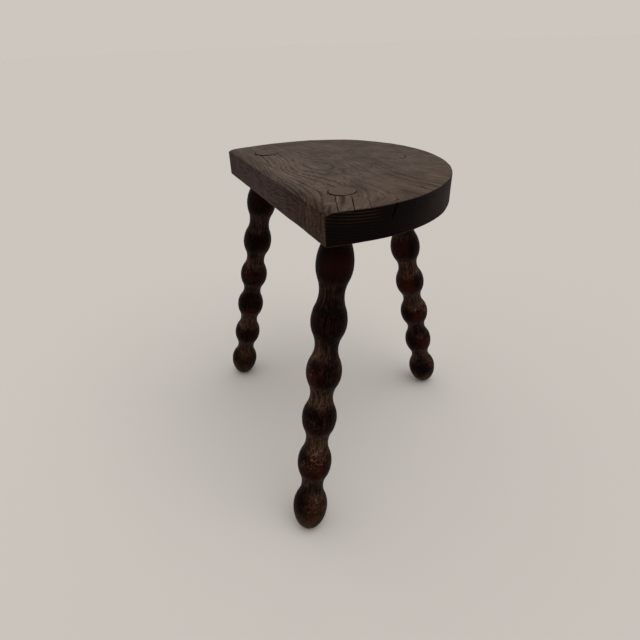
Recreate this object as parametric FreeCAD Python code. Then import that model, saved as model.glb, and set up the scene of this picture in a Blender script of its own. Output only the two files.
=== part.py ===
import FreeCAD, Part
import math
import os

# Milking stool: a half-moon plank seat on three splayed, bobbin-turned legs.
# Each leg ends in a tapered round tenon that passes right through the seat and
# is trimmed level with its top.
#
# Sizes are in millimetres. +Z is up and the floor is at Z = 0. X runs along the
# straight front edge of the seat, and the half-round back points along +Y. The
# origin is on the floor, under the middle of the stool's overall box.

# Seat board
SEAT_HEIGHT = 300.0  # floor to the top of the seat
SEAT_THICKNESS = 25.0
SEAT_WIDTH = 240.0  # across the round, where the seat is widest
ROUND_SETBACK = 45.7  # straight front edge back to the middle of the round
RIGHT_END_LEAN_DEG = 7.0  # each end runs straight off the round, in towards the front
LEFT_END_LEAN_DEG = 2.4
FRONT_WEAR_ROUND = 7.0  # top of the front edge, worn round by use
RIM_ROUND = 2.0  # top edge along the sides and the back
UNDER_ROUND = 2.0  # lower edge, all the way round
CORNER_ROUND = 3.0  # the two upright front corners

# Turned legs: a row of beads with hollows between them
BEAD_COUNT = 6
BEAD_DIAMETER = 31.2
FOOT_DIAMETER = 32.2  # the lowest bead, which ends in the foot
WAIST_DIAMETER = 20.4  # at the bottom of each hollow
TOP_WAIST_DIAMETER = 21.6  # the highest hollow, cut less deep
BEAD_SHARE = 0.54  # part of each step that is bead; the rest is hollow
BEAD_DRIFT = 1.6  # spaced by eye: wide in the lower half, closer in the upper
FOOT_RISE = 23.7  # floor to the widest part of the lowest bead
FOOT_WEAR = 1.5  # worn off the rounded end of the foot
NECK_DROP = 19.7  # underside of the seat down to the top bead, on an upright leg

# Tapered tenon on the top of each leg
TENON_ROOT_DIAMETER = 22.0  # where it enters the underside of the seat
TENON_END_DIAMETER = 21.4  # where it shows in the top of the seat
JOINT_CLEARANCE = 0.1  # between tenon and mortise, all round

# Mortise places on the top of the seat, and the lean of each leg in degrees
RIGHT_END_INSET = 44.3  # in from the widest part of the right end
RIGHT_FRONT_INSET = 34.1  # in from the straight front edge
RIGHT_SPLAY_DEG = 9.8  # foot out to the right
RIGHT_RAKE_DEG = 12.6  # foot out to the front
LEFT_END_INSET = 39.9  # in from the widest part of the left end
LEFT_FRONT_INSET = 29.5
LEFT_SPLAY_DEG = 10.6  # foot out to the left
LEFT_RAKE_DEG = 8.4
BACK_OFF_MIDDLE = 2.5  # to the right of the seat's middle line
BACK_EDGE_INSET = 37.6  # in from the back of the half-round edge
BACK_SPLAY_DEG = 1.3  # foot a little to the left
BACK_RAKE_DEG = 13.2  # foot out to the back

SEAT_UNDERSIDE = SEAT_HEIGHT - SEAT_THICKNESS
SEAT_HALF = SEAT_WIDTH / 2
SEAT_DEPTH = ROUND_SETBACK + SEAT_HALF


def tangent(degrees):
    return math.tan(math.radians(degrees))


def under(x, y):
    """A point on the underside of the seat board."""
    return FreeCAD.Vector(x, y, SEAT_UNDERSIDE)


def arc_through(start, middle, end):
    return Part.Arc(start, middle, end).toShape()


class Leg:
    """Where one leg stands: its mortise centre on the seat top, and its lean."""

    def __init__(self, mortise_x, mortise_y, lean_x_deg, lean_y_deg):
        self.top = FreeCAD.Vector(mortise_x, mortise_y, SEAT_HEIGHT)
        self.foot = FreeCAD.Vector(
            mortise_x + SEAT_HEIGHT * tangent(lean_x_deg),
            mortise_y + SEAT_HEIGHT * tangent(lean_y_deg),
            0,
        )
        self.axis = self.top - self.foot
        self.length = self.axis.Length
        self.stretch = self.length / SEAT_HEIGHT  # length along the leg per unit of height
        self.slope = math.sqrt(self.stretch**2 - 1)  # sideways run per unit of height

    def tenon_root(self):
        """Distance up the leg to the middle of the mortise's lower mouth."""
        return SEAT_UNDERSIDE * self.stretch

    def tenon_radius(self, distance):
        """Radius of the tapered tenon at a distance up the leg."""
        part = (distance - self.tenon_root()) / (self.length - self.tenon_root())
        return (TENON_ROOT_DIAMETER + part * (TENON_END_DIAMETER - TENON_ROOT_DIAMETER)) / 2

    def tenon_start(self):
        """Distance up the leg where the taper begins, just clear of the tilted mouth."""
        return self.tenon_root() - self.slope * TENON_ROOT_DIAMETER / 2

    def tenon_overrun(self):
        """Distance up the leg past the whole of the seat top, before it is trimmed."""
        return self.length + self.slope * TENON_ROOT_DIAMETER

    def place(self, shape):
        """Stand a shape made round the upright axis on this leg's own axis."""
        up = FreeCAD.Vector(0, 0, 1)
        turn = FreeCAD.Rotation(up, self.axis)
        shape.Placement = FreeCAD.Placement(self.foot, turn)
        return shape


LEGS = {
    "leg_front_right": Leg(
        SEAT_HALF - RIGHT_END_INSET, RIGHT_FRONT_INSET, RIGHT_SPLAY_DEG, -RIGHT_RAKE_DEG
    ),
    "leg_front_left": Leg(
        LEFT_END_INSET - SEAT_HALF, LEFT_FRONT_INSET, -LEFT_SPLAY_DEG, -LEFT_RAKE_DEG
    ),
    "leg_back": Leg(
        BACK_OFF_MIDDLE, SEAT_DEPTH - BACK_EDGE_INSET, -BACK_SPLAY_DEG, BACK_RAKE_DEG
    ),
}


def curve_between(low, high):
    """Bead and hollow as two arcs that meet smoothly, each upright at its own end.

    low and high are (radius, distance up the leg); one is a bead, one a hollow.
    """
    bead_first = low[0] > high[0]
    share = BEAD_SHARE if bead_first else 1 - BEAD_SHARE
    meet = (low[0] + share * (high[0] - low[0]), low[1] + share * (high[1] - low[1]))
    return [upright_arc(low, meet), upright_arc(high, meet, backwards=True)]


def upright_arc(start, end, backwards=False):
    """Arc that leaves start parallel to the leg's axis and passes through end."""
    across = end[0] - start[0]
    along = end[1] - start[1]
    radius = (across**2 + along**2) / (2 * across)
    half_angle = math.asin(along / radius) / 2 if abs(along) < abs(radius) else math.pi / 4
    middle_x = start[0] + radius * (1 - math.cos(half_angle))
    middle_z = start[1] + radius * math.sin(half_angle)
    points = [start, (middle_x, middle_z), end]
    if backwards:
        points.reverse()
    return arc_through(*[FreeCAD.Vector(x, 0, z) for x, z in points])


def foot_curve():
    """Rounded end of the foot: a quarter of an ellipse from the axis out to the lowest bead."""
    across = FreeCAD.Vector(FOOT_DIAMETER / 2, 0, 0)
    down = FreeCAD.Vector(0, 0, -FOOT_RISE - FOOT_WEAR)
    middle = FreeCAD.Vector(0, 0, FOOT_RISE)
    curve = Part.BezierCurve()
    curve.setPoles([middle + down, middle + down + across, middle + across])
    curve.setWeight(2, math.sqrt(0.5))
    return curve.toShape()


def bead_heights():
    """Distance from the floor, along the leg, to the widest part of each bead."""
    step = (SEAT_UNDERSIDE - FOOT_RISE - NECK_DROP) / (BEAD_COUNT - 1)
    heights = []
    for number in range(BEAD_COUNT):
        drift = BEAD_DRIFT * math.sin(2 * math.pi * number / (BEAD_COUNT - 1))
        heights.append(FOOT_RISE + number * step + drift)
    return heights


def make_leg(leg):
    """One leg with its tenon, turned from a single piece of wood."""
    beads = bead_heights()
    waists = [WAIST_DIAMETER] * (BEAD_COUNT - 2) + [TOP_WAIST_DIAMETER]
    stations = [(FOOT_DIAMETER / 2, beads[0])]
    for below, above, waist in zip(beads, beads[1:], waists):
        stations.append((waist / 2, (below + above) / 2))
        stations.append((BEAD_DIAMETER / 2, above))
    neck = leg.tenon_start()
    stations.append((leg.tenon_radius(neck), neck))
    edges = [foot_curve()]
    for low, high in zip(stations, stations[1:]):
        edges.extend(curve_between(low, high))
    end = leg.tenon_overrun()
    corners = [
        FreeCAD.Vector(leg.tenon_radius(neck), 0, neck),
        FreeCAD.Vector(leg.tenon_radius(end), 0, end),
        FreeCAD.Vector(0, 0, end),
        FreeCAD.Vector(0, 0, -FOOT_WEAR),
    ]
    edges.extend(Part.makeLine(*pair) for pair in zip(corners, corners[1:]))
    face = Part.Face(Part.Wire(Part.__sortEdges__(edges)))
    turned = face.revolve(FreeCAD.Vector(), FreeCAD.Vector(0, 0, 1), 360)
    return leg.place(turned).common(space_under_seat_top(leg))


def space_under_seat_top(leg):
    """Block from the floor to the seat top: it trims the foot and the tenon flat."""
    reach = 2 * leg.length
    corner = leg.foot - FreeCAD.Vector(reach, reach, 0)
    return Part.makeBox(2 * reach, 2 * reach, SEAT_HEIGHT, corner)


def make_mortise(leg):
    """Tapered hole for one leg's tenon, run past both faces of the seat."""
    start = leg.tenon_start() - leg.slope * TENON_ROOT_DIAMETER
    end = leg.tenon_overrun()
    lower = leg.tenon_radius(start) + JOINT_CLEARANCE
    upper = leg.tenon_radius(end) + JOINT_CLEARANCE
    base = FreeCAD.Vector(0, 0, start)
    if abs(lower - upper) < 1e-6:
        return leg.place(Part.makeCylinder(lower, end - start, base))
    return leg.place(Part.makeCone(lower, upper, end - start, base))


def end_points(lean_deg):
    """Front corner of a right-hand end, and the point where that end runs off the round."""
    lean = math.radians(lean_deg)
    corner_x = SEAT_HALF / math.cos(lean) - ROUND_SETBACK * math.tan(lean)
    leave_x = SEAT_HALF * math.cos(lean)
    leave_y = ROUND_SETBACK - SEAT_HALF * math.sin(lean)
    return under(corner_x, 0), under(leave_x, leave_y)


def mirrored(point):
    return under(-point.x, point.y)


def seat_outline():
    """Half-moon outline of the underside: a straight front, two straight ends and the round."""
    right_corner, right_leave = end_points(RIGHT_END_LEAN_DEG)
    left_corner, left_leave = [mirrored(point) for point in end_points(LEFT_END_LEAN_DEG)]
    return Part.Wire(
        [
            Part.makeLine(left_corner, right_corner),
            Part.makeLine(right_corner, right_leave),
            arc_through(right_leave, under(0, SEAT_DEPTH), left_leave),
            Part.makeLine(left_leave, left_corner),
        ]
    )


def front_corner_edges(board):
    """The two upright edges at the ends of the straight front."""
    corners = []
    for edge in board.Edges:
        start, end = [vertex.Point for vertex in edge.Vertexes]
        if abs(start.y) < 1e-6 and abs(end.y) < 1e-6 and abs(start.x - end.x) < 1e-6:
            corners.append(edge)
    return corners


def edges_at(solid, height):
    """Edges of a solid that lie flat at one height."""
    level = []
    for edge in solid.Edges:
        heights = [vertex.Z for vertex in edge.Vertexes]
        if max(abs(value - height) for value in heights) < 1e-6:
            level.append(edge)
    return level


def front_wear():
    """Wood worn off the top of the front edge: a square bar less its round."""
    bar = Part.makeBox(
        SEAT_WIDTH,
        FRONT_WEAR_ROUND,
        FRONT_WEAR_ROUND,
        FreeCAD.Vector(-SEAT_HALF, 0, SEAT_HEIGHT - FRONT_WEAR_ROUND),
    )
    left_end = FreeCAD.Vector(-SEAT_HALF, FRONT_WEAR_ROUND, SEAT_HEIGHT - FRONT_WEAR_ROUND)
    return bar.cut(Part.makeCylinder(FRONT_WEAR_ROUND, SEAT_WIDTH, left_end, FreeCAD.Vector(1, 0, 0)))


def make_seat():
    """Plank with its edges eased and three slanted mortises through it."""
    board = Part.Face(seat_outline()).extrude(FreeCAD.Vector(0, 0, SEAT_THICKNESS))
    board = board.makeFillet(CORNER_ROUND, front_corner_edges(board))
    board = board.makeFillet(RIM_ROUND, edges_at(board, SEAT_HEIGHT))
    board = board.makeFillet(UNDER_ROUND, edges_at(board, SEAT_UNDERSIDE))
    board = board.cut(front_wear())
    for leg in LEGS.values():
        board = board.cut(make_mortise(leg))
    return board


pieces = {"seat_board": make_seat()}
for name, leg in LEGS.items():
    pieces[name] = make_leg(leg)

# Put the origin on the floor under the middle of the whole stool
box = Part.makeCompound(list(pieces.values())).optimalBoundingBox(False, False)
middle = FreeCAD.Vector(box.Center.x, box.Center.y, 0)
os.makedirs("parts", exist_ok=True)
for name, piece in pieces.items():
    piece.translate(-middle)
    piece.exportStep("parts/" + name + ".step")
    print(name, "solids", len(piece.Solids), "valid", piece.isValid(), "mm3", round(piece.Volume))
print("overall", round(box.XLength, 2), round(box.YLength, 2), round(box.ZLength, 2))
print("seat middle of front edge", [round(value, 3) for value in -middle])
for name, leg in LEGS.items():
    print(name, "foot", [round(value, 2) for value in leg.foot - middle])
    print(name, "mortise", [round(value, 2) for value in leg.top - middle])
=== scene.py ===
# %% [markdown]
# # A bobbin-leg milking stool
# A country stool is four pieces of wood: a half-moon plank and three turned legs, whose round
# tenons go right through the plank. This lesson loads the stool's packed construction, builds a
# worn wooden piece in place of each plain solid, and gives each its finish.

import math

import bmesh
import bpy
from mathutils import Matrix, Vector, noise


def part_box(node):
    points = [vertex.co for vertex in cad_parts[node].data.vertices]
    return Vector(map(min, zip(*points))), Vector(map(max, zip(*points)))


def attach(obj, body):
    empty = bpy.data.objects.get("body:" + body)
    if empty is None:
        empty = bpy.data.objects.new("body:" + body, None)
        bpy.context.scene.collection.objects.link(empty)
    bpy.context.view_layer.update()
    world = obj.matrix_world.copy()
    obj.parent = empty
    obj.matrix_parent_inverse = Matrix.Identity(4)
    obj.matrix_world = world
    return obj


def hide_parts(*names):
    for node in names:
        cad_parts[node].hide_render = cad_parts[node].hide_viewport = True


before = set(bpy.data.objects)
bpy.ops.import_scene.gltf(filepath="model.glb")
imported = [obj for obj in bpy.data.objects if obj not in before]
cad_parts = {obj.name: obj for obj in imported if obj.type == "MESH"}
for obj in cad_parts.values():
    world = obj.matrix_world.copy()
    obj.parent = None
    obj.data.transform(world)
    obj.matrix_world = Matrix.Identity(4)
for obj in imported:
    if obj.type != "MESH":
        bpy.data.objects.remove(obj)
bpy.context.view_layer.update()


def rounded(points):
    """Points in metres, short enough to print."""
    return [tuple(round(value, 4) for value in point) for point in points]


# %% [markdown]
# ## Sizes
# Everything is in metres. The plank's outline and height are read from its solid, so the looks
# can't drift away from the construction. The legs need numbers that a box can't give: where each
# one's axis crosses the seat, how far it leans, and how it was turned.

# %% Sizes read from the frame
seat_low, seat_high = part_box("seat_board")
SEAT_TOP = seat_high.z
SEAT_UNDERSIDE = seat_low.z
SEAT_HALF = (seat_high.x - seat_low.x) / 2
SEAT_MIDDLE_X = (seat_high.x + seat_low.x) / 2
FRONT_Y = seat_low.y
ARC_CENTRE_Y = seat_high.y - SEAT_HALF
print("seat", round(2 * SEAT_HALF, 4), "wide,", round(seat_high.y - FRONT_Y, 4), "deep")

# %% Turning sizes and the stance of each leg
BEAD_COUNT = 6
BEAD_RADIUS = 0.0156
FOOT_RADIUS = 0.0161
WAIST_RADIUS = 0.0102
TOP_WAIST_RADIUS = 0.0108
TENON_ROOT_RADIUS = 0.011

# Share of the way from a bead to a hollow that is bead, and how far the beads' spacing wandered.
BEAD_SHARE = 0.54
BEAD_DRIFT = 0.0016

# The foot's widest place above the floor, what its tip has lost, and the top bead below the seat.
FOOT_RISE = 0.0237
FOOT_WEAR = 0.0015
NECK_DROP = 0.0197

# Mortise: its centre on the seat top, measured from the middle of the front edge.
# Lean: degrees to the right and to the back as the leg goes down.
# End: radius of the tenon's end. Proud: how far it stands out of the top.
# Bow: how far the leg's middle has warped to the right and to the back.
# Gap: space round the tenon. Shift: how far the hole is off the tenon's middle.
STANCES = {
    "leg_front_right": {
        "mortise": (SEAT_HALF - 0.0443, 0.0341),
        "lean": (9.8, -12.6),
        "end": 0.0106,
        "proud": 0.0005,
        "bow": (0, 0),
        "gap": 0.00045,
        "shift": (0.00012, -0.0003),
    },
    "leg_front_left": {
        "mortise": (0.0399 - SEAT_HALF, 0.0295),
        "lean": (-10.6, -8.4),
        "end": 0.0108,
        "proud": 0.0006,
        "bow": (0.0001, 0.0003),
        "gap": 0.0007,
        "shift": (0.0004, -0.0004),
    },
    "leg_back": {
        "mortise": (0.0025, seat_high.y - FRONT_Y - 0.0376),
        "lean": (-1.3, 13.2),
        "end": 0.011,
        "proud": 0.0003,
        "bow": (-0.0004, -0.0008),
        "gap": 0.0003,
        "shift": (0.0002, -0.0001),
    },
}


def leg_ends(stance):
    """Top of a leg's axis on the seat, and its foot on the floor."""
    along, inward = stance["mortise"]
    top = Vector((SEAT_MIDDLE_X + along, FRONT_Y + inward, SEAT_TOP))
    lean_x, lean_y = (math.tan(math.radians(angle)) for angle in stance["lean"])
    foot = top + SEAT_TOP * Vector((lean_x, lean_y, -1))
    return top, foot


for name, stance in STANCES.items():
    print(name, "top and foot", rounded(leg_ends(stance)))

# %% [markdown]
# ## The camera
# The photograph was taken from above the front right corner of the seat, close by, with a wide
# lens, so the near leg looks long and the seat falls away. The stand is described as a person would
# set a tripod: where it is, which way it faces, how far it looks down, and a slight tilt.

# %% Set the camera
CAMERA_PLACE = (0.3932, -0.2132, 0.4062)
CAMERA_HEADING = math.radians(65.64)
CAMERA_DOWN = math.radians(32.04)
CAMERA_TILT = math.radians(-2.2)
CAMERA_LENS_MM = 26.27
CAMERA_SENSOR_MM = 36
CAMERA_NEAR_LIMIT = 0.01

camera_data = bpy.data.cameras.new("camera")
camera_data.lens = CAMERA_LENS_MM
camera_data.sensor_width = CAMERA_SENSOR_MM
camera_data.clip_start = CAMERA_NEAR_LIMIT
camera = bpy.data.objects.new("camera", camera_data)
bpy.context.collection.objects.link(camera)
heading = Matrix.Rotation(CAMERA_HEADING, 4, "Z")
look_down = Matrix.Rotation(math.pi / 2 - CAMERA_DOWN, 4, "X")
tilt = Matrix.Rotation(CAMERA_TILT, 4, "Z")
camera.matrix_world = Matrix.Translation(CAMERA_PLACE) @ heading @ look_down @ tilt
bpy.context.scene.camera = camera
print("camera at", CAMERA_PLACE, "lens", CAMERA_LENS_MM)

# %% [markdown]
# ## Turning a leg
# On the real stool a square stick was spun in a lathe and cut to a row of beads. A spun outline
# would do it here, but this cell works more like the turner: it starts from a round blank with
# many rings, and cuts every ring to the radius that belongs at its place along the leg. The beads
# and hollows are arcs that meet smoothly, and the foot ends in a quarter of an ellipse.

# %% The radius at each place along a leg
FOOT_TIP_SHARE = 0.02


def turning_stations(stance):
    """Bead, hollow, bead and so on up to the tenon, as (distance up the leg, radius)."""
    top, foot = leg_ends(stance)
    stretch = (top - foot).length / SEAT_TOP
    slope = math.sqrt(stretch**2 - 1)
    step = (SEAT_UNDERSIDE - FOOT_RISE - NECK_DROP) / (BEAD_COUNT - 1)
    beads = []
    for number in range(BEAD_COUNT):
        drift = BEAD_DRIFT * math.sin(2 * math.pi * number / (BEAD_COUNT - 1))
        beads.append(FOOT_RISE + number * step + drift)
    waists = [WAIST_RADIUS] * (BEAD_COUNT - 2) + [TOP_WAIST_RADIUS]
    stations = [(beads[0], FOOT_RADIUS)]
    for below, above, waist in zip(beads, beads[1:], waists):
        stations.append(((below + above) / 2, waist))
        stations.append((above, BEAD_RADIUS))
    neck = SEAT_UNDERSIDE * stretch - slope * TENON_ROOT_RADIUS
    stations.append((neck, TENON_ROOT_RADIUS))
    stations.append((SEAT_TOP * stretch, stance["end"]))
    return stations


def wave_radius(distance, low, high):
    """Radius between a bead and a hollow: an arc round each, meeting smoothly."""
    bead, hollow = (low, high) if low[1] > high[1] else (high, low)
    length = abs(high[0] - low[0])
    depth = bead[1] - hollow[1]
    from_bead = abs(distance - bead[0])

    def arc(run, share):
        """How far an arc has fallen after a run along the leg."""
        radius = share * (length**2 + depth**2) / (2 * depth)
        return radius - math.sqrt(max(radius**2 - run**2, 0))

    if from_bead < BEAD_SHARE * length:
        return bead[1] - arc(from_bead, BEAD_SHARE)
    return hollow[1] + arc(length - from_bead, 1 - BEAD_SHARE)


def turned_radius(distance, stations):
    """Radius of the whole leg at a distance up from the floor."""
    first = stations[0]
    if distance < first[0]:
        share = (first[0] - distance) / (FOOT_RISE + FOOT_WEAR)
        return first[1] * math.sqrt(max(1 - share**2, FOOT_TIP_SHARE**2))
    for low, high in zip(stations, stations[1:-1]):
        if distance < high[0]:
            return wave_radius(distance, low, high)
    low, high = stations[-2:]
    return low[1] + (high[1] - low[1]) * (distance - low[0]) / (high[0] - low[0])


print("back leg", rounded(turning_stations(STANCES["leg_back"])))

# %% [markdown]
# Legs and seat are trimmed by flat cuts, as with a saw or a plane. A cut leaves a hole, which is
# closed with one face. A finished shape then goes into the scene with smooth shading that stops at
# its sharp edges.

# %% Tools for cutting and shading
SMOOTH_ANGLE = math.radians(40)
CUT_TOLERANCE = 1e-7


def cut_through(bm, place, facing, tolerance, **settings):
    """Cut the whole mesh along a plane."""
    everything = bm.verts[:] + bm.edges[:] + bm.faces[:]
    bmesh.ops.bisect_plane(
        bm, geom=everything, dist=tolerance, plane_co=place, plane_no=facing, **settings
    )


def cut_flat(bm, place, facing):
    """Take away what lies beyond a plane, close the cut with one face, and return that face."""
    cut_through(bm, place, facing, CUT_TOLERANCE, clear_outer=True)
    rim = [edge for edge in bm.edges if edge.is_boundary]
    return bmesh.ops.contextual_create(bm, geom=rim)["faces"][0]


def shade_smooth(mesh):
    """Shade a mesh smooth, apart from its sharp edges."""
    mesh.polygons.foreach_set("use_smooth", [True] * len(mesh.polygons))
    mesh.set_sharp_from_angle(angle=SMOOTH_ANGLE)


def new_piece(name, bm):
    """Put a finished bmesh in the scene as an object."""
    mesh = bpy.data.meshes.new(name)
    bmesh.ops.recalc_face_normals(bm, faces=bm.faces)
    bm.to_mesh(mesh)
    bm.free()
    shade_smooth(mesh)
    piece = bpy.data.objects.new(name, mesh)
    bpy.context.collection.objects.link(piece)
    return piece


# %% [markdown]
# A hand-turned and much used leg isn't perfect. Its beads differ by a hair, it is a little out of
# round, and knocks have flattened it here and there. A smooth noise moves each point in or out by a
# few tenths of a millimetre, enough to break up the highlights. The point's place on the lathe is
# kept in an attribute, because the grain has to follow the stick, not the room.

# %% Turn, stand and trim a leg
LEG_SIDES = 96
RING_STEP = 0.0007
SPARE_LENGTH = 2 * TENON_ROOT_RADIUS
OUT_OF_ROUND = 0.00022
OUT_OF_ROUND_SIZE = 0.036
KNOCK_DEPTH = 0.0004
KNOCK_SIZE = 0.012
KNOCK_START = 0.2
KNOCK_SHIFT = Vector((7, 0, 0))
TOOL_MARK = 0.00012
TOOL_MARK_SIZE = 0.0017
TENON_EDGE = 0.0003
GRAIN_TURN = 2.1


def round_blank(length):
    """A stick of radius 1 with many rings of points."""
    bm = bmesh.new()
    bmesh.ops.create_cone(
        bm, cap_ends=True, segments=LEG_SIDES, radius1=1, radius2=1, depth=length
    )
    lengthwise = [e for e in bm.edges if abs(e.verts[0].co.z - e.verts[1].co.z) > length / 2]
    rings = round(length / RING_STEP)
    bmesh.ops.subdivide_edges(bm, edges=lengthwise, cuts=rings, use_grid_fill=True)
    return bm


def worn_radius(distance, around, stations, number):
    """Radius at one point of a used leg: as turned, and then a little uneven."""
    spot = around * BEAD_RADIUS + Vector((0, 0, distance + number))
    radius = turned_radius(distance, stations)
    radius += OUT_OF_ROUND * noise.noise(spot / OUT_OF_ROUND_SIZE)
    radius -= KNOCK_DEPTH * max(noise.noise(spot / KNOCK_SIZE + KNOCK_SHIFT) - KNOCK_START, 0)
    radius += TOOL_MARK * noise.noise(Vector((0, number, distance / TOOL_MARK_SIZE)))
    return radius


def turn_leg(name, stance, number):
    """One leg with its tenon, standing where its solid stands."""
    top, foot = leg_ends(stance)
    stations = turning_stations(stance)
    length = (top - foot).length + FOOT_WEAR + SPARE_LENGTH
    bm = round_blank(length)
    lathe = bm.verts.layers.float_vector.new("lathe")
    for vert in bm.verts:
        distance = vert.co.z + length / 2 - FOOT_WEAR
        angle = math.atan2(vert.co.y, vert.co.x)
        around = Vector((math.cos(angle), math.sin(angle), 0))
        radius = worn_radius(distance, around, stations, number)
        vert.co = around * radius + Vector((0, 0, distance))
        turned = Matrix.Rotation(GRAIN_TURN * number, 3, "Z") @ vert.co
        vert[lathe] = turned + Vector((0, 0, number))
        warp = math.sin(math.pi * min(max(distance / length, 0), 1))
        vert.co += warp * Vector((*stance["bow"], 0))
    stand = Vector((0, 0, 1)).rotation_difference(top - foot).to_matrix().to_4x4()
    bmesh.ops.transform(bm, matrix=Matrix.Translation(foot) @ stand, verts=bm.verts)
    cut_flat(bm, (0, 0, 0), (0, 0, -1))
    end = cut_flat(bm, (0, 0, SEAT_TOP + stance["proud"] - TENON_EDGE), (0, 0, 1))
    for inset in (TENON_EDGE / 2, 2 * TENON_EDGE):
        bmesh.ops.inset_region(bm, faces=[end], thickness=inset, depth=TENON_EDGE / 2)
    return new_piece(name, bm)


# %% Make the three legs
LEG_PIECES = {
    "leg_front_right": "front_right_leg",
    "leg_front_left": "front_left_leg",
    "leg_back": "back_leg",
}
legs = {}
for number, (node, stance) in enumerate(STANCES.items()):
    piece = turn_leg(LEG_PIECES[node], stance, number)
    low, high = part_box(node)
    sides = zip((*piece.bound_box[0], *piece.bound_box[6]), (*low, *high))
    off = max(abs(side - solid_side) for side, solid_side in sides)
    print(piece.name, len(piece.data.polygons), "faces, box within", round(off * 1000, 2), "mm")
    legs[node] = piece

# %% [markdown]
# ## Sawing the seat
# The seat is one plank, sawn to a half moon by hand. A vertex spun through a little over half a
# turn gives the round back, pushed out a few millimetres where the saw strayed from the line. Three
# straight edges close the outline, with the ends leaning in towards the front, and extruding the
# face gives the plank its thickness. All sharp edges are then eased with a small bevel. A boolean
# could carve the shape from a block instead, but sawing the outline keeps the mesh clean for the
# cuts that follow.

# %% Saw and ease the plank
ARC_STEPS = 120
RIGHT_END_LEAN = math.radians(7.0)
LEFT_END_LEAN = math.radians(2.4)
SAW_STRAY = 0.0038
SAW_STRAY_AT = math.radians(132)
SAW_STRAY_REACH = math.radians(34)
SHARP_ANGLE = math.radians(45)
RIM_ROUND = 0.0011
ROUND_SEGMENTS = 3


def corner_reach(lean):
    """How far a front corner is from the seat's middle line, when its end leans in by an angle."""
    return SEAT_HALF / math.cos(lean) - (ARC_CENTRE_Y - FRONT_Y) * math.tan(lean)


def sawn_outline(bm):
    """Draw the half moon as one face at the height of the underside."""
    centre = Vector((SEAT_MIDDLE_X, ARC_CENTRE_Y, SEAT_UNDERSIDE))
    start = SEAT_HALF * Vector((math.cos(RIGHT_END_LEAN), -math.sin(RIGHT_END_LEAN), 0))
    shoulder = bm.verts.new(centre + start)
    sweep = RIGHT_END_LEAN + math.pi + LEFT_END_LEAN
    swept = bmesh.ops.spin(
        bm, geom=[shoulder], cent=centre, axis=(0, 0, 1), angle=sweep, steps=ARC_STEPS
    )
    far_shoulder = next(item for item in swept["geom_last"] if isinstance(item, bmesh.types.BMVert))
    for vert in bm.verts:
        out = vert.co - centre
        angle = math.atan2(out.y, out.x) % math.tau
        past_stray = (angle - SAW_STRAY_AT) / SAW_STRAY_REACH
        vert.co += SAW_STRAY * math.exp(-(past_stray**2)) * out.normalized()
    left = SEAT_MIDDLE_X - corner_reach(LEFT_END_LEAN)
    right = SEAT_MIDDLE_X + corner_reach(RIGHT_END_LEAN)
    front_left = bm.verts.new((left, FRONT_Y, SEAT_UNDERSIDE))
    front_right = bm.verts.new((right, FRONT_Y, SEAT_UNDERSIDE))
    for pair in ((far_shoulder, front_left), (front_left, front_right), (front_right, shoulder)):
        bm.edges.new(pair)
    return bmesh.ops.contextual_create(bm, geom=bm.edges[:])["faces"]


def sawn_plank():
    """Half-moon plank with a small round on every edge."""
    bm = bmesh.new()
    underside = sawn_outline(bm)
    grown = bmesh.ops.extrude_face_region(bm, geom=underside, use_keep_orig=True)["geom"]
    lifted = [item for item in grown if isinstance(item, bmesh.types.BMVert)]
    bmesh.ops.translate(bm, vec=(0, 0, SEAT_TOP - SEAT_UNDERSIDE), verts=lifted)
    bmesh.ops.recalc_face_normals(bm, faces=bm.faces)
    sharp = [edge for edge in bm.edges if edge.calc_face_angle(0) > SHARP_ANGLE]
    bmesh.ops.bevel(
        bm,
        geom=sharp,
        offset=RIM_ROUND,
        affect="EDGES",
        segments=ROUND_SEGMENTS,
        profile=0.5,
        material=-1,
    )
    return bm


plank = sawn_plank()
print("plank sawn,", len(plank.faces), "faces")

# %% [markdown]
# The front edge is worn much rounder than the rest, where legs have rubbed over it: more on the
# top than down the face. It is planed off as a joiner would ease it: stroke after stroke at a
# steeper angle, each one a flat cut that just touches the same quarter of an ellipse.

# %% Wear the front edge round
FRONT_WEAR_BACK = 0.010
FRONT_WEAR_DOWN = 0.0032
WEAR_STROKES = 10


def plane_front_edge(bm):
    """Round the top of the front edge with flat cuts."""
    middle = Vector((0, FRONT_Y + FRONT_WEAR_BACK, SEAT_TOP - FRONT_WEAR_DOWN))
    for stroke in range(1, WEAR_STROKES):
        angle = math.pi / 2 * stroke / WEAR_STROKES
        back, up = math.sin(angle), math.cos(angle)
        touch = middle + Vector((0, -FRONT_WEAR_BACK * back, FRONT_WEAR_DOWN * up))
        facing = Vector((0, -back / FRONT_WEAR_BACK, up / FRONT_WEAR_DOWN)).normalized()
        cut_flat(bm, touch, facing)


plane_front_edge(plank)
open_edges = sum(edge.is_boundary for edge in plank.edges)
print("plank planed,", len(plank.faces), "faces,", open_edges, "open edges")

# %% [markdown]
# ## Mortises and cracks
# The three mortises are slanted, slightly tapered holes. Old planks also split: here two cracks run
# from the front right tenon to the end of the seat, a short one sits beside them, and a drying
# crack opens in the end grain, in two lengths. Each crack is cut by a long, thin, bent lens, so
# that it is widest in the middle and closes to nothing. A boolean modifier does the cutting, and a
# note on the faces of each cutter stays on the walls it leaves, which are painted black: dirt in
# the joints, and dirt with painted shade in the cracks.

# %% Cutters for the mortises and cracks
MORTISE_SIDES = 72
MORTISE_CUTTER_LENGTH = 0.06
CRACK_WANDER = 0.0006
CRACK_WANDER_SIZE = 0.006
CRACK_NOISE_SPREAD = 1e4

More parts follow.
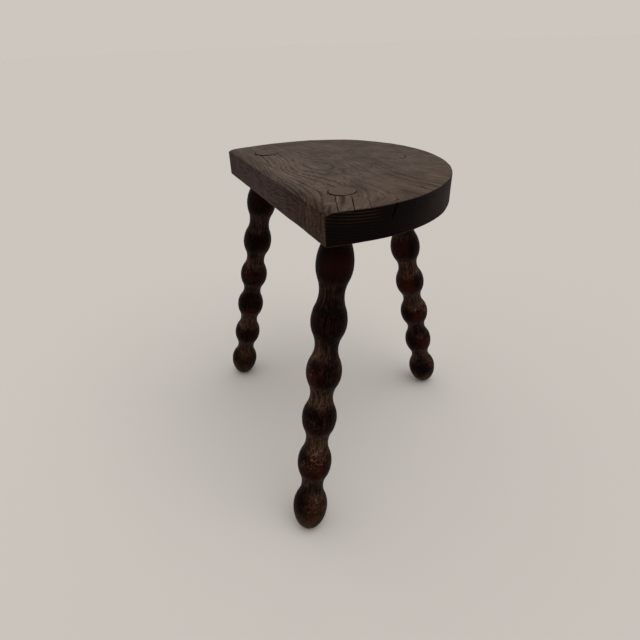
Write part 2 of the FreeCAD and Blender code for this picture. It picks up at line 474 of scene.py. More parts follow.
# Each crack: its two ends, then its width and its depth.
CRACKS = [
    ((0.0875, -0.0588, SEAT_TOP), (0.1270, -0.0757, SEAT_TOP), 0.0008, 0.003),
    ((0.0915, -0.0470, SEAT_TOP), (0.1290, -0.0645, SEAT_TOP), 0.0007, 0.003),
    ((0.1050, -0.0405, SEAT_TOP), (0.1240, -0.0490, SEAT_TOP), 0.0004, 0.001),
    ((0.1240, -0.0270, 0.3008), (0.1240, -0.0318, 0.2895), 0.0013, 0.003),
    ((0.1240, -0.0328, 0.2855), (0.1240, -0.0348, 0.2755), 0.0014, 0.003),
]


def crack_lens(bm, start, end, width, depth):
    """Add one long, thin lens to the cutter, bent by noise that differs with its width."""
    start, end = Vector(start), Vector(end)
    run = end - start
    on_top = abs(run.z) < run.xy.length
    inward = Vector((0, 0, 1)) if on_top else Vector((1, 0, 0))
    along = run.normalized()
    across = inward.cross(along).normalized()
    for vert in bmesh.ops.create_icosphere(bm, subdivisions=4, radius=1)["verts"]:
        x, y, z = vert.co
        spot = Vector((x * run.length / CRACK_WANDER_SIZE, width * CRACK_NOISE_SPREAD, 0))
        wander = CRACK_WANDER * noise.noise(spot)
        vert.co = (start + end) / 2 + along * x * run.length / 2
        vert.co += across * (y * width / 2 + wander) + inward * z * depth


def mortise_cone(bm, stance):
    """Add one tapered hole to the cutter."""
    top, foot = leg_ends(stance)
    axis = (top - foot).normalized()
    taper = (TENON_ROOT_RADIUS - stance["end"]) / ((SEAT_TOP - SEAT_UNDERSIDE) / axis.z)
    widening = taper * MORTISE_CUTTER_LENGTH / 2
    turn = Vector((0, 0, 1)).rotation_difference(axis).to_matrix().to_4x4()
    bmesh.ops.create_cone(
        bm,
        cap_ends=True,
        segments=MORTISE_SIDES,
        radius1=stance["end"] + widening + stance["gap"],
        radius2=stance["end"] - widening + stance["gap"],
        depth=MORTISE_CUTTER_LENGTH,
        matrix=Matrix.Translation(top + Vector((*stance["shift"], 0))) @ turn,
    )


def carve(piece, cutter):
    """Take a cutter away from a piece for good, then throw the cutter away."""
    cut = piece.modifiers.new("carve", "BOOLEAN")
    cut.operation = "DIFFERENCE"
    cut.solver = "EXACT"
    cut.object = cutter
    shape = bpy.context.evaluated_depsgraph_get()
    carved = bpy.data.meshes.new_from_object(piece.evaluated_get(shape))
    piece.modifiers.clear()
    piece.data = carved
    bpy.data.objects.remove(cutter)


def mark_gap(bm, amount):
    """Note on every face whether it walls a hole, so that the finish can darken it."""
    gap = bm.faces.layers.float.new("gap")
    for face in bm.faces:
        face[gap] = amount
    return bm


# %% Carve the seat
seat = new_piece("seat", mark_gap(plank, 0))
holes = bmesh.new()
for stance in STANCES.values():
    mortise_cone(holes, stance)
carve(seat, new_piece("mortise_cutter", mark_gap(holes, 1)))
splits = bmesh.new()
for crack in CRACKS:
    crack_lens(splits, *crack)
carve(seat, new_piece("crack_cutter", mark_gap(splits, 1)))
print("seat carved to", len(seat.data.polygons), "faces")

# %% [markdown]
# ## A worn surface
# A planed face has only a few corners, so it can't dip or bulge. Slicing the plank by many flat
# cuts adds points without changing its shape. Then a slow noise lifts and lowers the faces by a
# fraction of a millimetre, a quicker one nibbles at the edges, and the middle of the top sinks
# slightly, as old seats do.

# %% Slice the plank finely and wear it
SLICE = 0.0025
SLICE_TOLERANCE = 1e-6
SWELL = 0.0003
SWELL_SIZE = 0.03
NIBBLE = 0.0004
NIBBLE_SIZE = 0.012
NIBBLE_BIAS = 0.1
DISH_DEPTH = 0.0005
FACING_UP = 0.9


def slice_along(bm, axis, low, high):
    """Cut through the whole plank at even steps along one axis."""
    facing = Vector((0, 0, 0))
    facing[axis] = 1
    for number in range(1, round((high - low) / SLICE)):
        cut_through(bm, facing * (low + number * SLICE), facing, SLICE_TOLERANCE)


def worn_lift(vert, middle):
    """How far a point of the seat has risen or sunk along its normal."""
    level = abs(vert.normal.z)
    # Edges are where the normal slants: 1 halfway, 0 on level and upright faces.
    edge = 4 * level * (1 - level)
    lift = SWELL * noise.noise(vert.co / SWELL_SIZE)
    lift -= NIBBLE * edge * max(noise.noise(vert.co / NIBBLE_SIZE) + NIBBLE_BIAS, 0)
    if vert.normal.z > FACING_UP:
        away = ((vert.co - middle).xy.length / SEAT_HALF) ** 2
        lift -= DISH_DEPTH * max(1 - away, 0)
    return lift


def wear_seat(piece):
    """Uneven the surface of the seat by small, smooth amounts."""
    bm = bmesh.new()
    bm.from_mesh(piece.data)
    for axis in range(3):
        slice_along(bm, axis, seat_low[axis], seat_high[axis])
    bm.normal_update()
    middle = Vector((SEAT_MIDDLE_X, (seat_low.y + seat_high.y) / 2, 0))
    moves = [vert.normal * worn_lift(vert, middle) for vert in bm.verts]
    for vert, move in zip(bm.verts, moves):
        vert.co += move
    bm.to_mesh(piece.data)
    bm.free()
    shade_smooth(piece.data)


wear_seat(seat)
print("seat worn,", len(seat.data.polygons), "faces")

# %% [markdown]
# ## Node helpers
# A finish is a tree of small nodes. These helpers keep each line of a finish readable: they add a
# node, link or set its sockets, and hand back the output that the next line needs.

# %% Helpers for adding nodes
def add(tree, kind, sockets=None, output=0, **settings):
    """Add a node, set or link its sockets, and return one of its outputs."""
    made = tree.nodes.new(kind)
    for name, value in settings.items():
        setattr(made, name, value)
    for key, value in (sockets or {}).items():
        if isinstance(value, bpy.types.NodeSocket):
            tree.links.new(value, made.inputs[key])
        else:
            made.inputs[key].default_value = value
    return made.outputs[output]


def sum_up(tree, operation, first, second=0.0, third=0.0):
    """One step of arithmetic on numbers."""
    sockets = {0: first, 1: second, 2: third}
    return add(tree, "ShaderNodeMath", sockets, operation=operation)


def vector_step(tree, operation, first, second=(0, 0, 0), output=0):
    """One step of arithmetic on vectors. A result that is a number is output 1."""
    return add(tree, "ShaderNodeVectorMath", {0: first, 1: second}, output, operation=operation)


def split(tree, vector):
    """The X, Y and Z of a vector."""
    return add(tree, "ShaderNodeSeparateXYZ", {0: vector}).node.outputs


def stretched(tree, place, x, y, z):
    """A place with each axis multiplied. A small number draws a pattern out along its axis."""
    return vector_step(tree, "MULTIPLY", place, (x, y, z))


def turned_about_z(tree, place, angle):
    """A place turned about the Z axis."""
    sockets = {"Vector": place, "Angle": angle}
    return add(tree, "ShaderNodeVectorRotate", sockets, rotation_type="Z_AXIS")


def from_z_axis(tree, place):
    """Distance of a place from the Z axis."""
    return vector_step(tree, "LENGTH", stretched(tree, place, 1, 1, 0), output=1)


def cloud(tree, place, size, detail=3.0, roughness=0.5, output=0):
    """Noise whose blotches are about as large as size, in metres."""
    sockets = {"Vector": place, "Scale": 1 / size, "Detail": detail, "Roughness": roughness}
    return add(tree, "ShaderNodeTexNoise", sockets, output=output)


# %% [markdown]
# Colours are laid on like a painter's glazes. A mask says where a glaze shows: the two numbers
# after a noise are the values at which it starts to show and shows fully, and the last number of a
# glaze is its strength. Colours are written as they look on a screen, from 0 to 255, and turned
# into the light values Blender uses.

# %% Helpers for masks and colours
def between(tree, value, low, high):
    """0 at low, 1 at high, and a smooth change between them. Low may be the larger."""
    sockets = {"Value": value, "From Min": low, "From Max": high}
    return add(tree, "ShaderNodeMapRange", sockets, interpolation_type="SMOOTHSTEP")


def times(tree, mask, *others):
    """Masks or numbers multiplied. A mask times a share is a weaker mask."""
    for other in others:
        mask = sum_up(tree, "MULTIPLY", mask, other)
    return mask


def paint(red, green, blue):
    """Screen colour to linear light."""
    def light(value):
        value /= 255
        return value / 12.92 if value <= 0.04045 else ((value + 0.055) / 1.055) ** 2.4

    return (light(red), light(green), light(blue), 1)


def mixed(tree, amount, first, second):
    """Colour that goes from first to second as amount goes from 0 to 1."""
    return add(tree, "ShaderNodeMix", {0: amount, 6: first, 7: second}, output=2, data_type="RGBA")


def two_tone(tree, value, low, high, first, second):
    """Colour that goes from one screen colour to another as a value goes from low to high."""
    return mixed(tree, between(tree, value, low, high), paint(*first), paint(*second))


def glazed(tree, colour, glazes):
    """Lay glazes over a colour in turn. Each has a screen colour, a mask and a strength."""
    for over, mask, strength in glazes:
        colour = mixed(tree, times(tree, mask, strength), colour, paint(*over))
    return colour


print("middle grey is", round(paint(128, 128, 128)[0], 3), "of the light of white")

# %% [markdown]
# ## Grain, shared by both finishes
# The plank and the legs are the same kind of wood, so they share one node group. It takes a place
# in the log, with the fibres running along Z, and gives back five masks: the open line at the
# start of each growth ring, whole and as it shows broken along the grain, then broad streaks, fine
# fibres, and pores that oak shows as short dashes.

# %% Build the grain group
RING_WANDER = 0.005
RING_WANDER_SIZE = 0.03
RING_SHIVER = 0.6
RING_SHIVER_SIZE = 0.002
RING_BREAK_SIZE = 0.01
STREAK_WIDTH = 0.0013
FIBRE_WIDTH = 0.0006
PORE_WIDTH = 0.0005

# Places across a ring, from 0 to 1: where the open wood doesn't show, and where it shows fully.
RING_COMES = (0.92, 1.0)
RING_GOES = (0.4, 0.08)


def new_group(name, inputs, outputs):
    """Empty node group with vector or number inputs and number outputs."""
    group = bpy.data.node_groups.new(name, "ShaderNodeTree")
    for label, kind in inputs.items():
        group.interface.new_socket(label, in_out="INPUT", socket_type=kind)
    for label in outputs:
        group.interface.new_socket(label, in_out="OUTPUT", socket_type="NodeSocketFloat")
    given = group.nodes.new("NodeGroupInput").outputs
    result = group.nodes.new("NodeGroupOutput").inputs
    print(name, "gives", outputs)
    return group, given, result


def ring_start(group, rings):
    """The open, dark wood at the start of each ring, where rings counts them from the pith."""
    ring = sum_up(group, "FRACT", rings)
    going = between(group, ring, *RING_GOES)
    return sum_up(group, "MAXIMUM", going, between(group, ring, *RING_COMES))


def build_grain_group():
    """Node group that gives the masks of the grain at a place in a log."""
    inputs = {"Place In Log": "NodeSocketVector", "Ring Width": "NodeSocketFloat"}
    outputs = ("Ring", "Ring Line", "Streak", "Fibre", "Pore")
    group, given, result = new_group("wood_grain", inputs, outputs)

    def along_grain(size, share, **settings):
        """Noise drawn out along the fibres, the longer the smaller the share."""
        place = stretched(group, given["Place In Log"], 1, 1, share)
        return cloud(group, place, size, **settings)

    slow = along_grain(RING_WANDER_SIZE, 0.25, detail=2, output=1)
    slow = vector_step(group, "SUBTRACT", slow, (0.5, 0.5, 0.5))
    wander = stretched(group, slow, RING_WANDER, RING_WANDER, 0)
    bent = vector_step(group, "ADD", given["Place In Log"], wander)
    rings = sum_up(group, "DIVIDE", from_z_axis(group, bent), given["Ring Width"])
    group.links.new(ring_start(group, rings), result["Ring"])

    shiver = along_grain(RING_SHIVER_SIZE, 0.1)
    early = ring_start(group, sum_up(group, "MULTIPLY_ADD", shiver, RING_SHIVER, rings))
    unbroken = between(group, along_grain(RING_BREAK_SIZE, 0.15, detail=2), 0.36, 0.6)
    group.links.new(times(group, early, unbroken), result["Ring Line"])

    group.links.new(along_grain(STREAK_WIDTH, 0.03, roughness=0.6), result["Streak"])
    group.links.new(along_grain(FIBRE_WIDTH, 0.03, roughness=0.6), result["Fibre"])

    dashes = between(group, along_grain(PORE_WIDTH, 0.08, detail=2), 0.56, 0.66)
    more_in_early = sum_up(group, "MULTIPLY_ADD", early, 0.75, 0.25)
    group.links.new(times(group, dashes, more_in_early), result["Pore"])
    return group


GRAIN = build_grain_group()

# %% [markdown]
# ## Wear, shared by both finishes
# Years of use leave the same marks on seat and legs: slow blotches where the stain took unevenly
# or hands have rubbed, fine speckles where it has pooled or flaked, and thin scratches in two
# directions. A scratch is drawn as the line where a stretched noise passes its middle value.

# %% Build the wear group
BLOTCH_SIZE = 0.03
SPECKLE_SIZE = 0.0024
SCRATCH_SPACING = 0.006
SCRATCH_DRAWN_OUT = 0.05
SCRATCH_TURNS = (0.6, 2.2)
SCRATCHED_PATCH = 0.02


def build_wear_group():
    """Node group that gives the masks of the wear at a place."""
    inputs = {"Place": "NodeSocketVector"}
    group, given, result = new_group("worn_marks", inputs, ("Blotch", "Speckle", "Scratch"))
    spot = given["Place"]
    group.links.new(cloud(group, spot, BLOTCH_SIZE, detail=4, roughness=0.6), result["Blotch"])
    speckles = cloud(group, spot, SPECKLE_SIZE, detail=4, roughness=0.7)
    group.links.new(between(group, speckles, 0.53, 0.62), result["Speckle"])

    scratches = 0.0
    for turn in SCRATCH_TURNS:
        turned = turned_about_z(group, spot, turn)
        drawn_out = stretched(group, turned, 1, SCRATCH_DRAWN_OUT, 1)
        waves = cloud(group, drawn_out, SCRATCH_SPACING, detail=0)
        from_middle = sum_up(group, "ABSOLUTE", sum_up(group, "SUBTRACT", waves, 0.5))
        line = between(group, from_middle, 0.012, 0.003)
        scratches = sum_up(group, "MAXIMUM", line, scratches)
    patches = between(group, cloud(group, spot, SCRATCHED_PATCH, detail=2), 0.52, 0.62)
    group.links.new(times(group, scratches, patches), result["Scratch"])
    return group


WEAR = build_wear_group()

# %% Helpers for starting a finish
def use_group(tree, group, sockets):
    """Put a node group in a finish and return its outputs by name."""
    return add(tree, "ShaderNodeGroup", sockets, node_tree=group).node.outputs


def new_finish(name):
    """Empty finish, with its node tree and its shader."""
    finish = bpy.data.materials.new(name)
    finish.use_nodes = True
    tree = finish.node_tree
    shader = next(node for node in tree.nodes if node.type == "BSDF_PRINCIPLED")
    return finish, tree, shader


# %% [markdown]
# ## Weathered oak for the seat
# The plank was sawn near the heart of a log, along X, so its rings lie nearly flat in the middle of
# the top, where they draw faint ovals, and stand up near the front edge, where they draw fine
# lines. They also fan out towards the right end, and bend to the front beside the cracks there.
# The finish works out each point's place in that log, so that the top, the edges and the end grain
# all belong to one piece of wood. The top is dry and rubbed grey-brown; the edges keep an old,
# nearly black stain, which on the end grain is darkened further by painted shade.

# %% Place in the log
PITH_Y = -0.030
PITH_SLANT = 0.08
PITH_FAN = 4.0
PITH_ABOVE_TOP = 0.055
PITH_DIP = 0.006
PITH_DIP_REACH = 0.03
BEND_START_X = 0.06
BEND_Y = (-0.010, -0.050)
GRAIN_BEND = 4.5
SEAT_RING_WIDTH = 0.0022


def place_in_log(tree, spot):
    """Turn a place on the stool into a place in the log, with the fibres along Z."""
    x, y, z = split(tree, spot)
    pith_y = sum_up(tree, "MULTIPLY_ADD", x, PITH_SLANT, PITH_Y)
    fan = sum_up(tree, "EXPONENT", times(tree, x, PITH_FAN))
    sideways = sum_up(tree, "DIVIDE", sum_up(tree, "SUBTRACT", y, pith_y), fan)
    past = sum_up(tree, "MAXIMUM", sum_up(tree, "SUBTRACT", x, BEND_START_X), 0.0)
    bend = times(tree, between(tree, y, *BEND_Y), GRAIN_BEND)
    sideways = sum_up(tree, "MULTIPLY_ADD", times(tree, past, past), bend, sideways)
    square = times(tree, x, x)
    dip = sum_up(tree, "DIVIDE", square, sum_up(tree, "ADD", square, PITH_DIP_REACH**2))
    below = sum_up(tree, "SUBTRACT", SEAT_TOP + PITH_ABOVE_TOP, z)
    below = sum_up(tree, "MULTIPLY_ADD", dip, PITH_DIP, below)
    return add(tree, "ShaderNodeCombineXYZ", {0: sideways, 1: below, 2: x})


print("pith", round(PITH_ABOVE_TOP * 1000), "mm above the top, rings", SEAT_RING_WIDTH, "wide")

# %% [markdown]
# Old seats carry a few larger dark marks, where something stood or was spilt. Noise alone would put
# them anywhere, so each is an oval at its own place, with its edge frayed by noise.

# %% Dark marks on the top
SMUDGE_FRAY = 1.2
SMUDGE_FRAY_SIZE = 0.004
SMUDGE_EDGE = (1.6, 0.7)

# Each mark: X, Y, length, width and turn in degrees.
SMUDGES = [
    (-0.040, 0.024, 0.024, 0.008, 75),
    (0.025, 0.010, 0.030, 0.003, 142),
    (0.024, 0.015, 0.030, 0.003, 156),
    (0.024, -0.030, 0.016, 0.005, 10),
    (0.047, -0.029, 0.016, 0.005, -15),
    (0.003, 0.038, 0.020, 0.010, 60),
    (0.035, -0.004, 0.016, 0.003, 55),
    (0.062, 0.048, 0.018, 0.003, 88),
    (0.066, 0.032, 0.014, 0.004, 40),
    (0.101, 0.010, 0.022, 0.003, -20),
    (0.108, -0.034, 0.014, 0.003, -52),
    (0.068, -0.078, 0.022, 0.010, 0),
]


def smudges(tree, spot):
    """Mask of the dark marks on the top."""
    ragged = cloud(tree, spot, SMUDGE_FRAY_SIZE, roughness=0.7)
    marks = 0.0
    for x, y, length, width, turn in SMUDGES:
        away = vector_step(tree, "SUBTRACT", spot, (x, y, SEAT_TOP))
        turned = turned_about_z(tree, away, -math.radians(turn))
        distance = from_z_axis(tree, stretched(tree, turned, 2 / length, 2 / width, 0))
        distance = sum_up(tree, "MULTIPLY_ADD", ragged, SMUDGE_FRAY, distance)
        marks = sum_up(tree, "MAXIMUM", between(tree, distance, *SMUDGE_EDGE), marks)
    return marks


print(len(SMUDGES), "dark marks")

# %% [markdown]
# Each side of the plank has its own colours. The top is paler and more open in a band behind the
# front edge and warmer to the right. The front face is rough sawn at its right end, and its lower
# edge carries painted light from the floor. The end grain is nearly black, old stain darkened
# further by painted shade, with golden rings in its front corner, and the round back is rubbed
# lighter.

# %% Colours of the top and the front
# Each pair gives where an effect starts and where it is full.
PALE_BAND_Y = (FRONT_Y + 0.05, FRONT_Y + 0.02)
WARM_X = (0.02, 0.11)
ROUGH_SAWN_X = (0.02, 0.09)
# Painted light from the floor, along the front face's lower edge.
FLOOR_LIGHT_Z = (SEAT_UNDERSIDE + 0.014, SEAT_UNDERSIDE)
SAW_MARK_WIDTH = 0.0014
SAW_MARK_DRAWN_OUT = 0.06


def oak_top(tree, spot, grain, wear):
    """Colour of the dry, rubbed top."""
    x, y, _ = split(tree, spot)
    near_front = between(tree, y, *PALE_BAND_Y)
    colour = two_tone(tree, wear["Blotch"], 0.36, 0.64, (74, 63, 57), (89, 76, 68))
    streak_strength = sum_up(tree, "MULTIPLY_ADD", near_front, 0.25, 0.35)
    line_strength = sum_up(tree, "MULTIPLY_ADD", near_front, 0.55, 0.4)
    glazes = [
        ((102, 87, 77), near_front, 0.45),
        ((80, 64, 50), between(tree, x, *WARM_X), 0.5),
        ((118, 102, 89), between(tree, grain["Streak"], 0.5, 0.66), streak_strength),
        ((44, 33, 27), between(tree, grain["Streak"], 0.46, 0.32), 0.4),
        ((40, 29, 23), grain["Ring Line"], line_strength),
        ((44, 34, 28), between(tree, grain["Fibre"], 0.5, 0.66), 0.3),
        ((32, 23, 18), grain["Pore"], 0.7),
        ((40, 30, 24), times(tree, wear["Speckle"], near_front), 0.6),
        ((40, 30, 25), smudges(tree, spot), 0.5),
        ((122, 107, 94), wear["Scratch"], 0.25),
    ]
    return glazed(tree, colour, glazes)


def oak_front(tree, spot, grain, wear):
    """Colour of the straight front face, warmer and rougher sawn towards its right end."""
    x, _, z = split(tree, spot)
    right_end = between(tree, x, *ROUGH_SAWN_X)
    grey = two_tone(tree, wear["Blotch"], 0.38, 0.62, (62, 45, 45), (70, 52, 51))
    warm = two_tone(tree, wear["Blotch"], 0.38, 0.62, (59, 37, 25), (70, 46, 33))
    colour = mixed(tree, right_end, grey, warm)
    upright = stretched(tree, spot, 1, 1, SAW_MARK_DRAWN_OUT)
    saw_marks = between(tree, cloud(tree, upright, SAW_MARK_WIDTH), 0.5, 0.62)
    glazes = [
        # Painted light from the floor along the lower edge.
        ((76, 60, 52), between(tree, z, *FLOOR_LIGHT_Z), 0.35),
        ((84, 66, 56), between(tree, grain["Streak"], 0.5, 0.64), 0.7),
        ((24, 15, 13), between(tree, grain["Streak"], 0.48, 0.36), 0.7),
        ((20, 12, 10), grain["Ring Line"], 0.7),
        ((22, 13, 10), saw_marks, sum_up(tree, "MULTIPLY_ADD", right_end, 0.5, 0.3)),
        ((18, 11, 9), grain["Pore"], 0.7),
    ]
    return glazed(tree, colour, glazes)


# %% Colours of the end grain and the back
GOLD_CORNER_Y = (-0.036, -0.052)
GOLD_CORNER_Z = (SEAT_TOP - 0.013, SEAT_TOP - 0.005)
RUBBED_BACK_Y = (ARC_CENTRE_Y + 0.005, ARC_CENTRE_Y + 0.10)


def oak_back(tree, grain, wear):
    """Colour of the round back, where the stain is rubbed."""
    colour = two_tone(tree, wear["Blotch"], 0.38, 0.62, (34, 26, 24), (50, 40, 37))
    glazes = [
        ((74, 61, 55), between(tree, grain["Streak"], 0.5, 0.7), 0.3),
        ((17, 11, 10), between(tree, grain["Streak"], 0.46, 0.3), 0.4),
        ((17, 11, 10), grain["Ring Line"], 0.5),
    ]
    return glazed(tree, colour, glazes)


def oak_end(tree, spot, grain, wear):
    """End grain: old stain darkened by painted shade, a few golden rings, and the back behind it.
    """
    _, y, z = split(tree, spot)
    corner = times(tree, between(tree, y, *GOLD_CORNER_Y), between(tree, z, *GOLD_CORNER_Z))
    gold = times(tree, corner, grain["Ring"], between(tree, wear["Blotch"], 0.3, 0.6))
    # Nearly black: old stain, darkened further as painted shade on this end.
    colour = two_tone(tree, wear["Blotch"], 0.35, 0.7, (3, 1, 1), (9, 4, 4))
    glazes = [
        ((36, 16, 14), grain["Ring"], 0.3),
        ((34, 20, 17), between(tree, grain["Fibre"], 0.5, 0.7), 0.2),
        ((60, 42, 26), gold, 0.55),
    ]
    colour = glazed(tree, colour, glazes)
    return mixed(tree, between(tree, y, *RUBBED_BACK_Y), colour, oak_back(tree, grain, wear))


# %% [markdown]
# The way a face points tells which side it is. The worn strip behind the front edge is rounded
# over, so there the front's darker stain runs up on to the top. Mortise walls are painted black
# with dirt, and crack walls black with dirt and painted shade. The wood is dry, so it hardly
# shines, and a bump gives the grain its relief.

# %% Mix the oak finish
WORN_STRIP_X = (0.02, 0.1)
WORN_STRIP_Y = (FRONT_Y + 0.014, FRONT_Y + 0.001)
OAK_SHINE = 0.04
OAK_RELIEF = 0.0005


def front_strip(tree, spot):
    """How much of the front face's darker stain shows on the worn strip behind its edge."""
    x, y, _ = split(tree, spot)
    strength = sum_up(tree, "MULTIPLY_ADD", between(tree, x, *WORN_STRIP_X), 0.35, 0.35)
    return times(tree, between(tree, y, *WORN_STRIP_Y), strength)


def oak_colour(tree, spot, grain, wear):
    """Colour of the whole seat, side by side."""
    _, facing_back, facing_up = split(tree, add(tree, "ShaderNodeNewGeometry", output=1))
    strip = times(tree, front_strip(tree, spot), between(tree, facing_up, 0.3, 0.6))
    to_front = sum_up(tree, "MAXIMUM", between(tree, facing_back, -0.55, -0.9), strip)
    up = sum_up(tree, "SUBTRACT", between(tree, facing_up, 0.45, 0.98), strip)
    down = between(tree, facing_up, -0.3, -0.9)
    end = oak_end(tree, spot, grain, wear)
    side = mixed(tree, to_front, end, oak_front(tree, spot, grain, wear))
    raw = mixed(tree, grain["Streak"], paint(58, 46, 38), paint(92, 76, 62))
    colour = mixed(tree, down, side, raw)
    colour = mixed(tree, up, colour, oak_top(tree, spot, grain, wear))
    in_gap = add(tree, "ShaderNodeAttribute", output=2, attribute_name="gap")
    # Walls of holes: dirt, and painted shade inside the cracks.
    return glazed(tree, colour, [((9, 5, 5), in_gap, 0.95)])


def oak_finish():
    """Finish of the seat."""
    finish, tree, shader = new_finish("old_oak")
    spot = add(tree, "ShaderNodeTexCoord", output=3)
    in_log = place_in_log(tree, spot)
    grain = use_group(tree, GRAIN, {"Place In Log": in_log, "Ring Width": SEAT_RING_WIDTH})
    wear = use_group(tree, WEAR, {"Place": spot})
    tree.links.new(oak_colour(tree, spot, grain, wear), shader.inputs["Base Color"])

    rough = sum_up(tree, "MULTIPLY_ADD", grain["Fibre"], 0.3, 0.5)
    tree.links.new(rough, shader.inputs["Roughness"])
    shader.inputs["Specular IOR Level"].default_value = OAK_SHINE

    height = sum_up(tree, "MULTIPLY_ADD", grain["Pore"], -0.6, times(tree, grain["Fibre"], 0.5))
    height = sum_up(tree, "MULTIPLY_ADD", grain["Ring Line"], -0.5, height)
    height = sum_up(tree, "MULTIPLY_ADD", wear["Scratch"], -0.4, height)
    bump = add(tree, "ShaderNodeBump", {"Height": height, "Distance": OAK_RELIEF, "Strength": 0.8})
    tree.links.new(bump, shader.inputs["Normal"])
    return finish


seat.data.materials.clear()
seat.data.materials.append(oak_finish())
print("seat finish", seat.data.materials[0].name)

# %% [markdown]
# ## Dark waxed wood for the legs
# The legs were stained nearly black and waxed. Hands, boots and brooms have rubbed the stain thin
# in the hollows and on the feet, where a reddish and golden brown shows, flecked with pooled stain.
# The paler brown in the hollows and under each bead is also painted light from the floor. The stain
# has flaked off the shoulders of the lower beads, and those pale flecks are partly painted glints.
# One painted picture would fit one leg, so the finish reads each point's place on the lathe
# instead:
# how far it is from the axis tells a bead from a hollow. The tenon ends show in the seat top and
# are worn grey like the plank.

# %% Colours of a leg
# How much further out the rubbed stain and painted floor light reach under a bead, and the radii
# where they start and are full.
RUBBED_AND_LIT_UNDER = 0.0022
RUBBED_AND_LIT_RADIUS = (BEAD_RADIUS - 0.0012, WAIST_RADIUS + 0.0008)
# Heights where the painted shade under the seat starts and is full.
SEAT_SHADE_Z = (0.16, 0.27)
FLAKES_AND_GLINTS_Z = (0.27, 0.14)
SCUFFED_Z = (0.045, 0.01)


def rubbed_and_lit_hollows(tree, lathe, facing_up, wear):
    """Rubbed stain and painted floor light: in the hollows, and some way up under each bead."""
    under = between(tree, facing_up, 0.0, -0.5)
    radius = sum_up(tree, "MULTIPLY_ADD", under, -RUBBED_AND_LIT_UNDER, from_z_axis(tree, lathe))
    hollow = between(tree, radius, *RUBBED_AND_LIT_RADIUS)
    return times(tree, hollow, between(tree, wear["Blotch"], 0.34, 0.58))


def flakes_and_glints(tree, z, facing_up, wear):
    """Flaked stain and painted glints: in patches, on the upper side of the lower beads."""
    patches = between(tree, wear["Blotch"], 0.46, 0.58)
    shoulders = times(tree, between(tree, facing_up, 0.08, 0.4), between(tree, z, *FLAKES_AND_GLINTS_Z))
    return times(tree, wear["Speckle"], patches, shoulders)


def stained_leg(tree, z, facing_up, hollow, grain, wear):
    """Colour of the stained wood, without the tenon."""
    crown = two_tone(tree, wear["Blotch"], 0.42, 0.66, (4, 1, 1), (46, 13, 6))
    streak = between(tree, grain["Streak"], 0.5, 0.62)
    crown = glazed(tree, crown, [((54, 28, 18), streak, 0.4)])
    # Pale brown where the stain is rubbed thin, and painted light from the floor.
    thin = two_tone(tree, grain["Streak"], 0.36, 0.7, (31, 17, 14), (82, 59, 44))
    thin = glazed(tree, thin, [((18, 9, 8), grain["Ring"], 0.25)])
    glazes = [
        # Painted shade under the seat, darker towards the top of the leg.
        ((8, 2, 2), between(tree, z, *SEAT_SHADE_Z), 0.6),
        ((4, 1, 1), wear["Speckle"], 0.5),
        # Pale flecks: flaked stain, partly painted glints.
        ((110, 90, 70), flakes_and_glints(tree, z, facing_up, wear), 0.7),
        ((72, 53, 37), wear["Scratch"], 0.2),
        ((4, 2, 2), grain["Pore"], 0.7),
    ]
    colour = glazed(tree, mixed(tree, hollow, crown, thin), glazes)
    scuffed = mixed(tree, grain["Fibre"], paint(36, 22, 15), paint(92, 66, 40))
    foot = times(tree, between(tree, z, *SCUFFED_Z), between(tree, wear["Blotch"], 0.38, 0.6), 0.6)
    return mixed(tree, foot, colour, scuffed)


def worn_tenon(tree, grain):
    """Colour of a tenon's end."""
    colour = two_tone(tree, grain["Fibre"], 0.35, 0.65, (70, 59, 52), (98, 84, 74))
    return glazed(tree, colour, [((46, 36, 30), grain["Ring Line"], 0.5)])


# %% Mix the leg finish
LEG_RING_WIDTH = 0.0021
LEG_PITH = (0.011, 0.005, 0.0)
TENON_END_Z = (SEAT_TOP - 0.003, SEAT_TOP - 0.002)
WAX_TINT = (0.85, 0.77, 0.76, 1)
WAX_SHINE = 0.03
LEG_RELIEF = 0.0004


def leg_finish():
    """Finish of the three legs."""
    finish, tree, shader = new_finish("waxed_dark_wood")
    lathe = add(tree, "ShaderNodeAttribute", output=1, attribute_name="lathe")
    in_log = vector_step(tree, "ADD", lathe, LEG_PITH)
    grain = use_group(tree, GRAIN, {"Place In Log": in_log, "Ring Width": LEG_RING_WIDTH})
    wear = use_group(tree, WEAR, {"Place": lathe})
    z = split(tree, add(tree, "ShaderNodeTexCoord", output=3))[2]
    facing_up = split(tree, add(tree, "ShaderNodeNewGeometry", output=1))[2]

    hollow = rubbed_and_lit_hollows(tree, lathe, facing_up, wear)
    colour = stained_leg(tree, z, facing_up, hollow, grain, wear)
    in_seat_top = between(tree, z, *TENON_END_Z)
    colour = mixed(tree, in_seat_top, colour, paint(8, 4, 4))
    tenon = times(tree, between(tree, facing_up, 0.4, 0.7), in_seat_top)
    colour = mixed(tree, tenon, colour, worn_tenon(tree, grain))
    tree.links.new(colour, shader.inputs["Base Color"])

    rough = sum_up(tree, "MULTIPLY_ADD", wear["Blotch"], 0.3, 0.32)
    rough = sum_up(tree, "MAXIMUM", rough, times(tree, tenon, 0.7))
    tree.links.new(rough, shader.inputs["Roughness"])
    shader.inputs["Specular IOR Level"].default_value = WAX_SHINE
    shader.inputs["Specular Tint"].default_value = WAX_TINT

    height = sum_up(tree, "MULTIPLY_ADD", grain["Pore"], -0.5, times(tree, grain["Fibre"], 0.4))
    height = sum_up(tree, "MULTIPLY_ADD", wear["Scratch"], -0.4, height)
    bump = add(tree, "ShaderNodeBump", {"Height": height, "Distance": LEG_RELIEF, "Strength": 0.5})
    tree.links.new(bump, shader.inputs["Normal"])
    return finish


leg_wood = leg_finish()
for piece in legs.values():
    piece.data.materials.append(leg_wood)
print("leg finish", leg_wood.name)

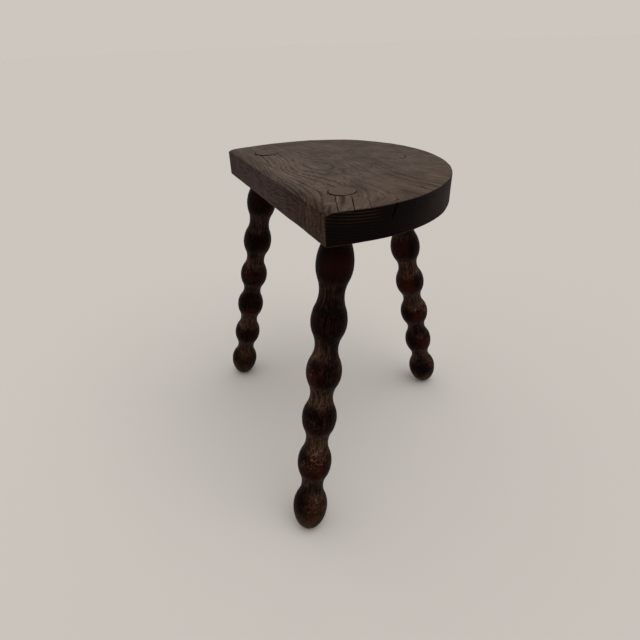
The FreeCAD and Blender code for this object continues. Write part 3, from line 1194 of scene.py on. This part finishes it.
# %% [markdown]
# ## Floor and light
# The stool stands on a plain pale floor, wide enough to fill the view from every side. The light
# is a soft sun, so broad that it acts like a large lamp above the stool, a little behind it and to
# the right. A low sky, brighter on the left as beside a window, fills the shadows. The camera and
# reflections see that sky as a plain pale backdrop.

# %% Floor
FLOOR_RADIUS = 15.0
FLOOR_SIDES = 96
FLOOR_COLOUR = (203, 197, 190)
FLOOR_ROUGHNESS = 0.8


def make_floor():
    """A wide flat disc on the ground."""
    bm = bmesh.new()
    bmesh.ops.create_circle(bm, cap_ends=True, segments=FLOOR_SIDES, radius=FLOOR_RADIUS)
    return new_piece("floor", bm)


floor = make_floor()
pale, tree, shader = new_finish("pale_floor")
shader.inputs["Base Color"].default_value = paint(*FLOOR_COLOUR)
shader.inputs["Roughness"].default_value = FLOOR_ROUGHNESS
shader.inputs["Specular IOR Level"].default_value = 0.0
floor.data.materials.append(pale)
print("floor radius", FLOOR_RADIUS)

# %% Sky
WINDOW_SIDE = Vector((-0.80, -0.25, 0.55)).normalized()
# Least and greatest strength, and how much a direction faces the window at each.
SKY_DARK = 0.12
SKY_DARK_AT = -0.6
SKY_BRIGHT = 0.85
SKY_BRIGHT_AT = 0.7
BACKDROP_COLOUR = (205, 199, 192)

world = bpy.data.worlds.new("soft_sky")
world.use_nodes = True
tree = world.node_tree
looking = add(tree, "ShaderNodeTexCoord", output=0)
level = {
    "Value": vector_step(tree, "DOT_PRODUCT", looking, WINDOW_SIDE, output=1),
    "From Min": SKY_DARK_AT,
    "From Max": SKY_BRIGHT_AT,
    "To Min": SKY_DARK,
    "To Max": SKY_BRIGHT,
}
sky = next(node for node in tree.nodes if node.type == "BACKGROUND")
sky.inputs["Color"].default_value = (1, 1, 1, 1)
tree.links.new(add(tree, "ShaderNodeMapRange", level), sky.inputs["Strength"])
backdrop = add(tree, "ShaderNodeBackground", {"Color": paint(*BACKDROP_COLOUR), "Strength": 1.0})
ray = tree.nodes.new("ShaderNodeLightPath").outputs
reflected = sum_up(tree, "MAXIMUM", ray["Is Glossy Ray"], ray["Is Transmission Ray"])
seen = sum_up(tree, "MAXIMUM", ray["Is Camera Ray"], reflected)
both = add(tree, "ShaderNodeMixShader", {0: seen, 1: sky.outputs[0], 2: backdrop})
surface = next(node for node in tree.nodes if node.type == "OUTPUT_WORLD")
tree.links.new(both, surface.inputs["Surface"])
bpy.context.scene.world = world
print("sky from", SKY_DARK, "to", SKY_BRIGHT)

# %% Sun
SUN_FROM = Vector((0.6, 0.35, 1.4))
SUN_ANGLE = math.radians(60)
SUN_STRENGTH = 1.3

sun_data = bpy.data.lights.new("soft_sun", "SUN")
sun_data.angle = SUN_ANGLE
sun_data.energy = SUN_STRENGTH
sun = bpy.data.objects.new("soft_sun", sun_data)
bpy.context.collection.objects.link(sun)
sun.rotation_euler = (-SUN_FROM).to_track_quat("-Z", "Y").to_euler()
bpy.context.scene.view_settings.view_transform = "Standard"
print("sun strength", SUN_STRENGTH, "from", tuple(SUN_FROM))

# %% [markdown]
# ## Join the pieces to the frame
# Each new piece is hung on the frame's one body, and the plain solid it replaces is hidden. The
# stool has no moving parts, so everything rides on that one body.

# %% Finish
for node, piece in [("seat_board", seat), *legs.items()]:
    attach(piece, "root")
    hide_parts(node)
